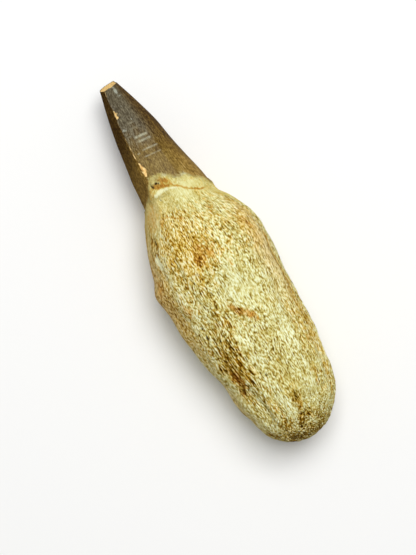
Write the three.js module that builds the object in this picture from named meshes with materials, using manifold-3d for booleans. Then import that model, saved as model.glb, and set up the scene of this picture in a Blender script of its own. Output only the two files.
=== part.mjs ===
// A rooted mosasaur tooth, fossilised in one piece: a faceted enamel crown with two cutting edges
// and a broken tip, on the swollen, porous bone of its root. The tooth is loose and lies on its side.
// Millimetres. +X runs along the tooth towards the tip, +Z is up, and the origin is under the
// middle of the tooth, on the surface that it lies on.
import * as THREE from "three";
import { mergeVertices } from "three/addons/utils/BufferGeometryUtils.js";
import Module from "manifold-3d";

// ---- Driving dimensions ----
const TOOTH_LENGTH = 112; // from the root's blunt end to the broken tip
const ROOT_END_ROUNDING = 11; // length over which the root's end rounds off
const CENTRE_HEIGHT = 13.75; // of the root's long axis over the surface, which flattens the belly
const CROWN_DROOP = 2.0; // how far the tip sinks below the root's axis
const COLLAR_X = 78.3; // where the enamel starts, on average round the tooth
const COLLAR_SWING = 3.0; // the enamel starts that much higher on the two broad faces
const COLLAR_HIGH_ANGLE = 85; // degrees round the tooth
const COLLAR_LIP = 0.5; // the bone's edge stands this proud of the enamel
const COLLAR_GAP = 0.25; // length of the step down from the bone's edge to the enamel
const BREAK_SLOPE = 0.45; // the broken tip leans back towards the upper side
const BREAK_HOLLOW = 0.35; // depth of the dished break

// Half widths of the tooth round its long axis, at stations along it:
// distance from the root's end, towards +Y, towards -Y, up, down.
const GIRTH = [
  [0, 11.6, 9.4, 9.6, 9.6],
  [5, 11.55, 10.85, 10.9, 11.4],
  [11, 12.2, 12.9, 12.1, 12.9],
  [15, 13.45, 13.9, 12.6, 13.4],
  [22, 14.1, 15.1, 13.2, 13.9],
  [32, 16.1, 15.8, 14.0, 14.2],
  [44, 17.0, 16.0, 14.8, 14.4],
  [49, 17.5, 16.4, 15.0, 14.4],
  [54, 17.8, 17.1, 15.1, 14.3],
  [58, 16.4, 17.4, 14.8, 14.1],
  [62, 15.4, 16.4, 13.8, 13.5],
  [68, 13.1, 13.4, 11.6, 11.8],
  [72, 11.2, 10.7, 10.0, 10.4],
  [75, 9.2, 10.6, 9.0, 9.5],
  [79, 8.85, 10.1, 8.2, 8.7],
  [84, 8.5, 8.9, 7.7, 8.0],
  [90, 7.6, 7.6, 7.0, 7.2],
  [96, 6.7, 6.6, 6.1, 6.2],
  [102, 5.5, 5.0, 4.9, 5.0],
  [108, 4.05, 3.1, 3.4, 3.5],
  [TOOTH_LENGTH, 3.1, 1.7, 2.3, 2.4],
];

// The crown's flats: the way each faces, in degrees from +Y over the top, and its depth of cut
// as a share of the girth. The first two meet in the front cutting edge.
const CROWN_FLATS = [
  [20, 0.93],
  [100, 0.95],
  [137, 0.98],
  [170, 0.98],
  [205, 0.96],
  [276, 0.95],
  [312, 0.97],
  [345, 0.98],
];
const FLAT_CRISPNESS = 16;
const CUTTING_EDGES = [60, 240]; // degrees
const EDGE_HEIGHT = 0.35;
const EDGE_WIDTH = 0.7;

// Hollows and bumps: distance along, angle round, half length, half width, depth (a bump is negative).
const HOLLOWS = [
  [103, 59, 1.9, 0.9, 0.7], // chips out of the front cutting edge
  [95.5, 60, 1.1, 0.7, 0.3],
  [86.3, 62, 2.2, 0.9, 0.65],
  [111.5, 60, 1.6, 0.7, 0.6],
  [99, 240, 1.7, 0.8, 0.5], // and out of the back one
  [88, 241, 1.3, 0.8, 0.4],
  [77.8, 74, 0.9, 4.2, -0.45], // crust on the collar
  [75.7, 76, 0.6, 4.0, 0.35], // and the crack under it
  [61.5, 37, 9, 1.3, 0.45], // seam between the root's upper face and its +Y side
  [13.5, 52, 7.5, 1.6, 0.9], // furrow at the root's end
  [10.2, 114, 3.4, 2.0, 1.0], // notch
  [4.4, 92, 3.0, 3.2, 0.9], // worn hollow
  [5.5, 22, 2.6, 2.4, 1.0],
  [27, 41, 9, 3.2, 0.7], // long worn hollow low on the +Y side
  [24, 122, 11, 1.7, 0.5], // furrows down the -Y side
  [36, 137, 12, 1.8, 0.45],
  [17, 152, 9, 1.7, 0.5],
  [48, 160, 9, 2.2, 0.4],
  [12, 205, 5, 3.0, 0.8],
  [33, 222, 10, 2.2, 0.6],
  [56, 235, 6, 3.0, 0.5],
  [21, 318, 8, 2.4, 0.7],
  [43, 332, 9, 2.0, 0.5],
  [9, 345, 3.5, 2.6, 0.7],
  [53.8, 14, 5, 4.5, -0.5], // knuckle where the +Y side turns
];

// Rings of the grid along the tooth, and columns round it.
const END_RINGS = 8;
const ROOT_RINGS = 38;
const CROWN_RINGS = 16;
const BREAK_RINGS = 3;
const COLUMNS = 72;

const radians = THREE.MathUtils.degToRad;
const mix = THREE.MathUtils.lerp;
const smoothstep = (value, low, high) => THREE.MathUtils.smoothstep(value, low, high);

// The shortest way round from one angle to another, in radians.
function turnBetween(from, to) {
  return Math.atan2(Math.sin(to - from), Math.cos(to - from));
}

// The slope of one column of GIRTH at a station: the chord over its two neighbours.
function girthSlope(station, column) {
  const before = GIRTH[Math.max(station - 1, 0)];
  const after = GIRTH[Math.min(station + 1, GIRTH.length - 1)];
  return (after[column] - before[column]) / (after[0] - before[0]);
}

// One half width at distance x from the root's end: a cubic Hermite curve through the stations.
function girthAt(x, column) {
  let station = 0;
  while (station < GIRTH.length - 2 && x > GIRTH[station + 1][0]) station += 1;
  const from = GIRTH[station];
  const to = GIRTH[station + 1];
  const span = to[0] - from[0];
  const t = (x - from[0]) / span;
  const rise = to[column] - from[column];
  const startSlope = girthSlope(station, column) * span - rise;
  const endSlope = rise - girthSlope(station + 1, column) * span;
  return mix(from[column], to[column], t) + t * (1 - t) * (startSlope * (1 - t) + endSlope * t);
}

// A rounded polygon of unit girth: the flats' planes, joined by a high power mean.
function facetedRadius(angle) {
  let sum = 0;
  for (const [facing, depth] of CROWN_FLATS) {
    const reach = Math.max(0, Math.cos(angle - radians(facing)) / depth);
    sum += reach ** FLAT_CRISPNESS;
  }
  return sum ** (-1 / FLAT_CRISPNESS);
}

// Where the bone ends and the enamel starts: an arch on each broad face, with a ragged edge.
function collarAt(angle) {
  const arch = COLLAR_SWING * Math.cos(2 * (angle - radians(COLLAR_HIGH_ANGLE)));
  const ragged = 0.55 * Math.sin(5 * angle + 1) + 0.35 * Math.sin(11 * angle + 2.2);
  return COLLAR_X + arch + ragged;
}

// The root's broad lumps and long furrows, in millimetres.
function rootLumps(x, angle) {
  const lumps =
    0.24 * Math.sin(0.17 * x + 2 * angle + 0.6) +
    0.18 * Math.sin(0.31 * x - 3 * angle + 2.1) +
    0.12 * Math.sin(0.52 * x + 5 * angle + 4);
  const furrows = 0.16 * Math.sin(13 * angle + 1.4 * Math.sin(0.08 * x + 1));
  return lumps + furrows;
}

function hollowDepth(x, angle, radius) {
  let depth = 0;
  for (const [along, around, halfLength, halfWidth, deep] of HOLLOWS) {
    const dx = (x - along) / halfLength;
    const dy = (turnBetween(radians(around), angle) * radius) / halfWidth;
    depth += deep * Math.exp(-dx * dx - dy * dy);
  }
  return depth;
}

// Height of the tooth's long axis at distance x: level in the root, sinking in the crown.
function axisHeight(x) {
  const share = Math.max(0, x - COLLAR_X) / (TOOTH_LENGTH - COLLAR_X);
  return CENTRE_HEIGHT - CROWN_DROOP * share * share;
}

// A point of the tooth's side, at distance x from the root's end and an angle round the long axis.
function sidePoint(x, angle, crown) {
  const c = Math.cos(angle);
  const s = Math.sin(angle);
  const halfY = girthAt(x, c > 0 ? 1 : 2);
  const halfZ = girthAt(x, s > 0 ? 3 : 4);
  const crownShare = smoothstep(x, COLLAR_X - 6, COLLAR_X + 3);
  const squareness = mix(s > 0 ? 2.3 : 2.6, 2, crownShare);
  const oval = ((Math.abs(c) / halfY) ** squareness + (Math.abs(s) / halfZ) ** squareness) ** (-1 / squareness);
  let radius = oval * mix(1, facetedRadius(angle), crownShare);
  if (crown) {
    for (const edge of CUTTING_EDGES) {
      const away = (turnBetween(radians(edge), angle) * radius) / EDGE_WIDTH;
      radius += EDGE_HEIGHT * crownShare * Math.exp(-away * away);
    }
  } else {
    radius += COLLAR_LIP * Math.exp((x - collarAt(angle)) / 5);
    radius += rootLumps(x, angle) * (1 - crownShare);
  }
  radius -= hollowDepth(x, angle, oval);
  const closing = 1 - Math.min(x / ROOT_END_ROUNDING, 1);
  radius *= Math.sqrt(1 - closing * closing);
  return new THREE.Vector3(x, radius * c, axisHeight(x) + radius * s);
}

// The rim of the broken tip: the break's plane leans back towards +Z.
function breakRim(angle) {
  const flush = sidePoint(TOOTH_LENGTH, angle, true);
  const lowest = axisHeight(TOOTH_LENGTH) - girthAt(TOOTH_LENGTH, 4);
  const x = TOOTH_LENGTH - BREAK_SLOPE * (flush.z - lowest);
  return sidePoint(x, angle, true);
}

// A point of the dished break: share 1 is its rim and 0 its middle.
function breakPoint(share, angle) {
  const middle = breakRim(0).add(breakRim(Math.PI)).multiplyScalar(0.5);
  const point = middle.lerp(breakRim(angle), share);
  point.x -= BREAK_HOLLOW * (1 - share * share);
  return point;
}

// The grid's point on one ring and column: the root's end, the root, the crown, then the break.
function toothPoint(ring, angle) {
  if (ring <= END_RINGS) {
    const quarter = (ring / END_RINGS) * (Math.PI / 2);
    return sidePoint(ROOT_END_ROUNDING * (1 - Math.cos(quarter)), angle, false);
  }
  const rootRing = ring - END_RINGS;
  if (rootRing <= ROOT_RINGS) {
    return sidePoint(mix(ROOT_END_ROUNDING, collarAt(angle), rootRing / ROOT_RINGS), angle, false);
  }
  const crownRing = rootRing - ROOT_RINGS - 1;
  if (crownRing <= CROWN_RINGS) {
    const start = collarAt(angle) + COLLAR_GAP;
    return sidePoint(mix(start, breakRim(angle).x, crownRing / CROWN_RINGS), angle, true);
  }
  return breakPoint(1 - (crownRing - CROWN_RINGS) / BREAK_RINGS, angle);
}

// A sphere's grid with each vertex carried to the tooth: its poles become the root's end and the break.
function toothGeometry() {
  const rings = END_RINGS + ROOT_RINGS + 1 + CROWN_RINGS + BREAK_RINGS;
  const geometry = new THREE.SphereGeometry(1, COLUMNS, rings);
  geometry.deleteAttribute("normal");
  geometry.deleteAttribute("uv");
  const position = geometry.getAttribute("position");
  for (let i = 0; i < position.count; i += 1) {
    const ring = Math.floor(i / (COLUMNS + 1));
    const column = (i % (COLUMNS + 1)) % COLUMNS;
    const point = toothPoint(ring, (-column / COLUMNS) * 2 * Math.PI);
    position.setXYZ(i, point.x, point.y, point.z);
  }
  return mergeVertices(geometry);
}

const wasm = await Module();
wasm.setup();

function toSolid(geometry) {
  const vertProperties = geometry.getAttribute("position").array;
  const triVerts = new Uint32Array(geometry.index.array);
  return new wasm.Manifold(new wasm.Mesh({ numProp: 3, vertProperties, triVerts }));
}

function toGeometry(solid) {
  const mesh = solid.getMesh();
  const geometry = new THREE.BufferGeometry();
  geometry.setAttribute("position", new THREE.BufferAttribute(new Float32Array(mesh.vertProperties), 3));
  geometry.setIndex(new THREE.BufferAttribute(new Uint32Array(mesh.triVerts), 1));
  return geometry;
}

// A block whose top is the surface that the tooth lies on.
function groundGeometry() {
  const depth = 20;
  const block = new THREE.BoxGeometry(2 * TOOTH_LENGTH, TOOTH_LENGTH, depth);
  block.deleteAttribute("normal");
  block.deleteAttribute("uv");
  block.translate(TOOTH_LENGTH / 2, 0, -depth / 2);
  return mergeVertices(block);
}

// The belly is worn flat where the tooth rests.
const tooth = toGeometry(toSolid(toothGeometry()).subtract(toSolid(groundGeometry())));
tooth.computeBoundingBox();
const middle = tooth.boundingBox.getCenter(new THREE.Vector3());
tooth.translate(-middle.x, -middle.y, 0);

const fossil = new THREE.MeshStandardMaterial({ color: 0xc3b47a, roughness: 0.85, metalness: 0 });
const mesh = new THREE.Mesh(tooth, fossil);
mesh.name = "mosasaur_tooth";

const part = new THREE.Group();
part.add(mesh);
export default part;
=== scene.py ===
"""A rooted mosasaur tooth lying on its side: brown enamel crown with a broken tip, root of porous bone.

The tooth is one surface, worked out on a grid of rings along it and columns round it. Sizes are in
millimetres up to the point where a mesh is made, which is in metres. Distances along the tooth are
from the root's blunt end, and angles round it are in degrees from +Y over the top.
"""

import math

import bpy
import numpy as np
from mathutils import Matrix, Vector


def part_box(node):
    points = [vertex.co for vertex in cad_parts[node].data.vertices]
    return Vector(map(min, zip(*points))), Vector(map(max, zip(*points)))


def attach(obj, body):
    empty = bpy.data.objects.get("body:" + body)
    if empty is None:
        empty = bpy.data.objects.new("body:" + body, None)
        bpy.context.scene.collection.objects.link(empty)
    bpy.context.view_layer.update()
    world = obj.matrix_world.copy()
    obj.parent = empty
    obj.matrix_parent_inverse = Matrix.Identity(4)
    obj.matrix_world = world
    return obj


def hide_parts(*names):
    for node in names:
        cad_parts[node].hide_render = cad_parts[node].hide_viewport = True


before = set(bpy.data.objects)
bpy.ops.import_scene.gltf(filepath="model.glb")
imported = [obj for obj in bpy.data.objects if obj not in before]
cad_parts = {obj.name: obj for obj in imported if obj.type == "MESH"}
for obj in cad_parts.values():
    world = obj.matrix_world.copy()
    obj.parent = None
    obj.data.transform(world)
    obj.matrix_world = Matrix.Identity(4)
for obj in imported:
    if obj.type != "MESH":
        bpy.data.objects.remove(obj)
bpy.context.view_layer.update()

METRES = 0.001

# ---- Driving dimensions, the same as the solid's ----
TOOTH_LENGTH = 112.0  # from the root's blunt end to the broken tip
ROOT_END_ROUNDING = 11.0  # length over which the root's end rounds off
CENTRE_HEIGHT = 13.75  # of the root's long axis over the floor
CROWN_DROOP = 2.0  # how far the tip sinks below the root's axis
COLLAR_X = 78.3  # where the enamel starts, on average round the tooth
COLLAR_SWING = 3.0  # the enamel starts that much higher on the two broad faces
COLLAR_HIGH_ANGLE = 85
COLLAR_LIP = 0.5  # the bone's edge stands this proud of the enamel
COLLAR_LIP_LENGTH = 5  # over which the lip fades, to 1/e of its height
COLLAR_GAP = 0.25  # length of the step down from the bone's edge to the enamel
BREAK_SLOPE = 0.45  # the broken tip leans back towards the upper side
BREAK_HOLLOW = 0.35  # depth of the dished break

# Half widths round the long axis: distance along, towards +Y, towards -Y, up, down.
GIRTH = np.array([
    (0, 11.6, 9.4, 9.6, 9.6),
    (5, 11.55, 10.85, 10.9, 11.4),
    (11, 12.2, 12.9, 12.1, 12.9),
    (15, 13.45, 13.9, 12.6, 13.4),
    (22, 14.1, 15.1, 13.2, 13.9),
    (32, 16.1, 15.8, 14.0, 14.2),
    (44, 17.0, 16.0, 14.8, 14.4),
    (49, 17.5, 16.4, 15.0, 14.4),
    (54, 17.8, 17.1, 15.1, 14.3),
    (58, 16.4, 17.4, 14.8, 14.1),
    (62, 15.4, 16.4, 13.8, 13.5),
    (68, 13.1, 13.4, 11.6, 11.8),
    (72, 11.2, 10.7, 10.0, 10.4),
    (75, 9.2, 10.6, 9.0, 9.5),
    (79, 8.85, 10.1, 8.2, 8.7),
    (84, 8.5, 8.9, 7.7, 8.0),
    (90, 7.6, 7.6, 7.0, 7.2),
    (96, 6.7, 6.6, 6.1, 6.2),
    (102, 5.5, 5.0, 4.9, 5.0),
    (108, 4.05, 3.1, 3.4, 3.5),
    (TOOTH_LENGTH, 3.1, 1.7, 2.3, 2.4),
])
PLUS_Y, MINUS_Y, UP, DOWN = 1, 2, 3, 4  # the columns of GIRTH

# How far the oval's corners fill out, 2 for an ellipse: the root's upper and lower halves, and the crown.
UPPER_SQUARENESS, LOWER_SQUARENESS, CROWN_SQUARENESS = 2.3, 2.6, 2.0
CROWN_BLEND = (-6, 3)  # from the collar, the stretch over which the root's oval turns into the crown's

# The crown's flats: the way each faces, and its share of the girth.
CROWN_FLATS = [
    (20, 0.93), (100, 0.95), (137, 0.98), (170, 0.98), (205, 0.96), (276, 0.95), (312, 0.97), (345, 0.98),
]
FLAT_CRISPNESS = 16

# ---- The rest of the form, the same as the solid's or close to it ----
TOOTH_MIDDLE = 56.03  # the distance along that the frame has at its origin
CUTTING_EDGES = (61, 241)  # angles at CROWN_MIDDLE
EDGE_TWIST = -0.3  # degrees to a millimetre along the crown, about its middle
CROWN_MIDDLE = 97.0
EDGE_HEIGHT = 0.35
EDGE_WIDTH = 0.7

# Waves in the collar's course: millimetres, number round the tooth, phase in radians.
COLLAR_WAVES = [(0.55, 5, 1.0), (0.35, 11, 2.2)]
# Where the bone reaches further up the crown or less far: angle, half width in degrees, millimetres.
COLLAR_TONGUES = [(106, 8, 0.4), (127, 11, 0.8), (166, 12, -1.5)]

# The root's broad lumps: height, radians to a millimetre along, number round the tooth, phase in radians.
ROOT_LUMPS = [(0.24, 0.17, 2, 0.6), (0.18, 0.31, -3, 2.1), (0.12, 0.52, 5, 4.0)]
# Its long furrows: height and number round the tooth, then their sway in radians, and its pace and phase.
ROOT_FURROWS = (0.16, 13)
FURROW_SWAY = (1.4, 0.08, 1.0)

# Hollows and bumps: distance along, angle round, half length, half width, depth (a bump is negative).
CHIPS = [
    (103, 59, 1.9, 0.9, 0.7), (97.5, 62, 1.1, 0.7, 0.3), (86.3, 64, 2.2, 0.9, 0.65),
    (111.5, 58, 1.6, 0.7, 0.6), (99, 240, 1.7, 0.8, 0.5), (88, 241, 1.3, 0.8, 0.4),
]
CRUST = [(77.8, 76, 0.9, 4.2, -0.45), (75.7, 78, 0.6, 4.0, 0.35)]
HOLLOWS = [
    (61.5, 37, 9, 1.3, 0.45), (13.5, 52, 7.5, 1.6, 0.9), (10.2, 114, 3.4, 2.0, 1.0),
    (4.4, 92, 3.0, 3.2, 0.9), (5.5, 22, 2.6, 2.4, 1.0), (27, 41, 9, 3.2, 0.7),
    (24, 122, 11, 1.7, 0.5), (36, 137, 12, 1.8, 0.45), (17, 152, 9, 1.7, 0.5),
    (48, 160, 9, 2.2, 0.4), (12, 205, 5, 3.0, 0.8), (33, 222, 10, 2.2, 0.6),
    (56, 235, 6, 3.0, 0.5), (21, 318, 8, 2.4, 0.7), (43, 332, 9, 2.0, 0.5),
    (9, 345, 3.5, 2.6, 0.7), (53.8, 14, 5, 4.5, -0.5),
]

# Rings of the grid along the tooth, and columns round it.
END_RINGS, ROOT_RINGS, CROWN_RINGS, BREAK_RINGS = 40, 190, 56, 10
COLUMNS = 320


# ---- The tooth's form ----
def smoothstep(value, low, high):
    """0 up to low and 1 from high on, with a cubic step between them."""
    t = np.clip((value - low) / (high - low), 0, 1)
    return t * t * (3 - 2 * t)


def mix(a, b, share):
    """The straight line from a, where share is 0, to b, where it is 1."""
    return a + (b - a) * share


def turn_from(degrees, angle):
    """The shortest way round from an angle in degrees to one in radians, in radians."""
    away = angle - np.radians(degrees)
    return np.arctan2(np.sin(away), np.cos(away))


def bell(*distances):
    """A bell curve: 1 where all the distances are 0, 1/e at a distance of 1 all told."""
    return np.exp(-sum(distance * distance for distance in distances))


def girth_at(x, column):
    """A half width at distance x: a cubic Hermite curve through the stations of GIRTH.

    Its slope at a station is that of the chord between the station's neighbours.
    """
    stations, values = GIRTH[:, 0], GIRTH[:, column]
    before = np.maximum(np.arange(len(stations)) - 1, 0)
    after = np.minimum(np.arange(len(stations)) + 1, len(stations) - 1)
    slope = (values[after] - values[before]) / (stations[after] - stations[before])
    i = np.clip(np.searchsorted(stations, x, side="left") - 1, 0, len(stations) - 2)
    span = stations[i + 1] - stations[i]
    t = (x - stations[i]) / span
    rise = values[i + 1] - values[i]
    bend = (slope[i] * span - rise) * (1 - t) + (rise - slope[i + 1] * span) * t
    return mix(values[i], values[i + 1], t) + t * (1 - t) * bend


def faceted_radius(angle):
    """A rounded polygon of unit girth: the flats' planes, joined by a high power mean."""
    total = 0
    for facing, depth in CROWN_FLATS:
        total = total + np.maximum(0, np.cos(angle - math.radians(facing)) / depth) ** FLAT_CRISPNESS
    return total ** (-1 / FLAT_CRISPNESS)


def collar_at(angle):
    """Where the bone ends and the enamel starts: an arch on each broad face, waves, and a few tongues."""
    course = COLLAR_X + COLLAR_SWING * np.cos(2 * (angle - math.radians(COLLAR_HIGH_ANGLE)))
    for height, number, phase in COLLAR_WAVES:
        course = course + height * np.sin(number * angle + phase)
    for around, half_width, shift in COLLAR_TONGUES:
        course = course + shift * bell(turn_from(around, angle) / math.radians(half_width))
    return course


def root_lumps(x, angle):
    """The root's broad lumps, three crossing waves, and its long furrows, a swaying wave round the tooth."""
    total = 0
    for height, pace, number, phase in ROOT_LUMPS:
        total = total + height * np.sin(pace * x + number * angle + phase)
    height, number = ROOT_FURROWS
    sway, pace, phase = FURROW_SWAY
    return total + height * np.sin(number * angle + sway * np.sin(pace * x + phase))


def hollow_depth(hollows, x, angle, radius):
    """The summed depth of hollows, each a bell curve along the tooth and round it."""
    depth = 0
    for along, around, half_length, half_width, deep in hollows:
        depth = depth + deep * bell((x - along) / half_length, turn_from(around, angle) * radius / half_width)
    return depth


def edge_angle(edge, x):
    """The angle of a cutting edge at distance x, in degrees: it turns slowly round the crown."""
    return edge + EDGE_TWIST * (x - CROWN_MIDDLE)


def axis_height(x):
    """The long axis is level in the root and sinks in the crown as the square of the distance."""
    share = np.maximum(0, x - COLLAR_X) / (TOOTH_LENGTH - COLLAR_X)
    return CENTRE_HEIGHT - CROWN_DROOP * share * share


def side_points(x, angle, crown):
    """Points of the tooth's side: a superellipse of the four half widths, faceted in the crown.

    On it stand the cutting edges of the crown, or the lip and the lumps of the bone. The hollows are cut
    into it, and a quarter of an ellipse closes the root's end.
    """
    c, s = np.cos(angle), np.sin(angle)
    half_y = np.where(c > 0, girth_at(x, PLUS_Y), girth_at(x, MINUS_Y))
    half_z = np.where(s > 0, girth_at(x, UP), girth_at(x, DOWN))
    crown_share = smoothstep(x - COLLAR_X, *CROWN_BLEND)
    squareness = mix(np.where(s > 0, UPPER_SQUARENESS, LOWER_SQUARENESS), CROWN_SQUARENESS, crown_share)
    oval = ((np.abs(c) / half_y) ** squareness + (np.abs(s) / half_z) ** squareness) ** (-1 / squareness)
    radius = oval * mix(1.0, faceted_radius(angle), crown_share)
    if crown:
        for edge in CUTTING_EDGES:
            away = turn_from(edge_angle(edge, x), angle) * radius / EDGE_WIDTH
            radius = radius + EDGE_HEIGHT * crown_share * bell(away)
    else:
        radius = radius + COLLAR_LIP * np.exp((x - collar_at(angle)) / COLLAR_LIP_LENGTH)
        radius = radius + root_lumps(x, angle) * (1 - crown_share)
    radius = radius - hollow_depth(CHIPS + CRUST + HOLLOWS, x, angle, oval)
    closing = 1 - np.minimum(x / ROOT_END_ROUNDING, 1)
    radius = radius * np.sqrt(1 - closing * closing)
    return np.stack([x, radius * c, axis_height(x) + radius * s], axis=-1)


def break_rim(angle):
    """The rim of the broken tip, on a plane that leans back towards +Z."""
    flush = side_points(np.full_like(angle, TOOTH_LENGTH), angle, True)
    lowest = axis_height(TOOTH_LENGTH) - girth_at(np.array(TOOTH_LENGTH), DOWN)
    return side_points(TOOTH_LENGTH - BREAK_SLOPE * (flush[:, 2] - lowest), angle, True)


def tooth_grid():
    """The grid's points in millimetres, rings by columns, the columns' angles and each ring's part.

    The rings run from the root's end to the collar, on to the break's rim, and in to the break's middle.
    """
    angle = np.arange(COLUMNS) / COLUMNS * 2 * math.pi
    collar, rim = collar_at(angle), break_rim(angle)
    rings, parts = [], []

    def add(part, points):
        rings.append(points)
        parts.append(part)

    for quarter in np.linspace(0, math.pi / 2, END_RINGS + 1):
        x = ROOT_END_ROUNDING * (1 - math.cos(quarter))
        add("root", side_points(np.full_like(angle, x), angle, False))
    for share in np.arange(1, ROOT_RINGS + 1) / ROOT_RINGS:
        add("root", side_points(mix(ROOT_END_ROUNDING, collar, share), angle, False))
    for share in np.linspace(0, 1, CROWN_RINGS + 1):
        add("crown", side_points(mix(collar + COLLAR_GAP, rim[:, 0], share), angle, True))
    middle = (rim[0] + rim[COLUMNS // 2]) / 2
    for share in 1 - np.arange(1, BREAK_RINGS + 1) / BREAK_RINGS:
        points = mix(middle, rim, share)
        points[:, 0] -= BREAK_HOLLOW * (1 - share * share)
        add("break", points)
    return np.array(rings), angle, parts


# ---- Noise on the surface ----
# Large odd factors that scatter a cell's three numbers and the seed, then shifts and factors that mix the
# sum's bits, and what keeps the lowest 32 and 24 of them.
CELL_FACTORS, SEED_FACTOR = (374761393, 668265263, 2147483647), 1274126177
BIT_MIXERS, LAST_SHIFT = [(13, 1103515245), (16, 2246822519)], 15
LOW_32_BITS, LOW_24_BITS = 0xFFFFFFFF, 0xFFFFFF


def hashed(cells, seed):
    """A repeatable random number from 0 to 1 for each whole-numbered cell."""
    h = seed * SEED_FACTOR + sum(cells[..., axis] * factor for axis, factor in enumerate(CELL_FACTORS))
    for shift, factor in BIT_MIXERS:
        h = (h ^ (h >> shift)) * factor & LOW_32_BITS
    return ((h ^ (h >> LAST_SHIFT)) & LOW_24_BITS) / LOW_24_BITS


def soft_noise(points, seed):
    """Value noise from -1 to 1 on a unit lattice, with quintic steps between its corners."""
    low = np.floor(points).astype(np.int64)
    t = points - low
    t = t * t * t * (t * (t * 6 - 15) + 10)
    total = 0
    for corner in np.ndindex(2, 2, 2):
        weight = np.prod(np.where(corner, t, 1 - t), axis=-1)
        total = total + weight * hashed(low + np.array(corner), seed)
    return total * 2 - 1


def layered(points, layers):
    """Layers of soft noise, summed: each of a height, waves to a millimetre along and across, and a seed."""
    total = 0
    for height, along, across, seed in layers:
        total = total + height * soft_noise(points * (along, across, across), seed)
    return total


# The least and the most that a pit's reach may be, as shares of the radius asked for.
SMALLEST_PIT, LARGEST_PIT = 0.6, 1.4


def pits(points, along, across, seed, radius, share):
    """Pits of unit depth, stretched along the grain: a lattice's cells each hold one with chance share.

    A pit's depth falls from its centre as the square of the distance, and pits that meet keep the deeper.
    """
    points = points * (along, across, across)
    low = np.floor(points).astype(np.int64)
    deepest = np.zeros(points.shape[:-1])
    for step in np.ndindex(3, 3, 3):
        cell = low + np.array(step) - 1
        centre = cell + np.stack([hashed(cell, seed + k) for k in range(3)], axis=-1)
        present = hashed(cell, seed + 3) < share
        reach = radius * mix(SMALLEST_PIT, LARGEST_PIT, hashed(cell, seed + 4))
        near = np.clip(1 - np.sum((points - centre) ** 2, axis=-1) / reach**2, 0, 1)
        deepest = np.maximum(deepest, np.where(present, near, 0))
    return deepest


SHORTEST_NORMAL = 1e-9  # at the closed ends the grid has no normal


def grid_normals(points):
    """Unit normals of a grid that closes round its columns: its two directions' cross product."""
    along = np.gradient(points, axis=0)
    around = np.roll(points, -1, axis=1) - np.roll(points, 1, axis=1)
    normal = np.cross(around, along)
    return normal / np.maximum(np.linalg.norm(normal, axis=-1, keepdims=True), SHORTEST_NORMAL)


# The grain's cross section, to which the tooth's own is scaled: half its width and half its height.
GRAIN_WIDTH, GRAIN_HEIGHT = 16.0, 14.0


def grain_coordinates(points):
    """Millimetres along the tooth, across it and up from its axis.

    The last two are scaled to one cross section, so that the grain follows the tooth's taper.
    """
    x = np.maximum(points[..., 0], ROOT_END_ROUNDING)
    width = (girth_at(x, PLUS_Y) + girth_at(x, MINUS_Y)) / 2
    height = (girth_at(x, UP) + girth_at(x, DOWN)) / 2
    across = points[..., 1] / width * GRAIN_WIDTH
    up = (points[..., 2] - axis_height(x)) / height * GRAIN_HEIGHT
    return np.stack([points[..., 0], across, up], axis=-1)


# ---- Marks ----
def spots(marks, x, angle, radius):
    """How marked each point is: the highest of the marks' bell curves, each as high as its strength."""
    shown = np.zeros(np.broadcast(x, angle).shape)
    for along, around, half_length, half_width, strength in marks:
        curve = bell((x - along) / half_length, turn_from(around, angle) * radius / half_width)
        shown = np.maximum(shown, strength * curve)
    return shown


def lines(marks, x, angle, radius):
    """The same for marks drawn along lines: a bell curve of the distance from the line's nearest stretch."""
    shown = np.zeros(np.broadcast(x, angle).shape)
    for half_width, strength, path in marks:
        for (x0, a0), (x1, a1) in zip(path, path[1:]):
            dx, dy = x - x0, turn_from(a0, angle) * radius
            step_x, step_y = x1 - x0, math.radians(a1 - a0) * radius
            share = np.clip((dx * step_x + dy * step_y) / (step_x**2 + step_y**2), 0, 1)
            away = np.hypot(dx - share * step_x, dy - share * step_y) / half_width
            shown = np.maximum(shown, strength * bell(away))
    return shown


# Noise that pushes marks about, along the tooth and round it: millimetres, waves along and across, seed.
STRAY_ALONG = [(0.7, 0.35, 0.35, 71), (0.35, 1.1, 1.1, 72)]
STRAY_AROUND = [(0.7, 0.35, 0.35, 73), (0.35, 1.1, 1.1, 74)]


def strayed(x, angle, radius, points):
    """Distance along and angle round, pushed about by noise so that marks come out ragged."""
    return x + layered(points, STRAY_ALONG), angle + layered(points, STRAY_AROUND) / radius


# Stains and other marks, each (distance along, angle round, half length, half width, strength). A list
# runs from the root's end to the tip, the upper side first and then the underside.
# The one at 65 mm and 36 degrees is painted shade in a shallow groove.
BROWN = [
    (0, 130, 7, 5, 0.3), (2.2, 40, 2.4, 3.2, 0.9), (2.5, 50, 3, 3.5, 1), (2.5, 70, 2.5, 3.5, 1),
    (2.5, 165, 3, 3, 0.6), (4, 172, 3, 3, 0.9), (4.3, 90, 2.4, 3, 1), (5, 80, 5.5, 10, 0.7),
    (5.5, 18, 1.8, 2.6, 0.8), (12.5, 90, 3.5, 4.5, 0.6), (21, 40, 3, 2, 0.8), (26, 48, 12, 4, 0.9),
    (27, 41, 3.6, 2.4, 1), (27, 152, 10, 3, 0.25), (28, 58, 17, 6, 0.8), (33, 88, 7, 9, 0.3),
    (35, 40, 5, 1.8, 0.7), (38, 66, 10, 4, 0.6), (40.2, 88, 1.8, 3.4, 0.85), (44, 70, 5, 3, 0.3),
    (50, 60, 6, 4, 0.35), (57.2, 82, 2.6, 2.6, 0.65), (62, 54, 5, 4, 0.4), (65, 36, 5, 3, 0.6),
    (12, 200, 5, 4, 0.6), (22, 330, 7, 3, 0.5), (30, 215, 6, 4, 0.6), (40, 285, 5, 5, 0.5),
    (52, 250, 7, 5, 0.5),
]
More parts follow.
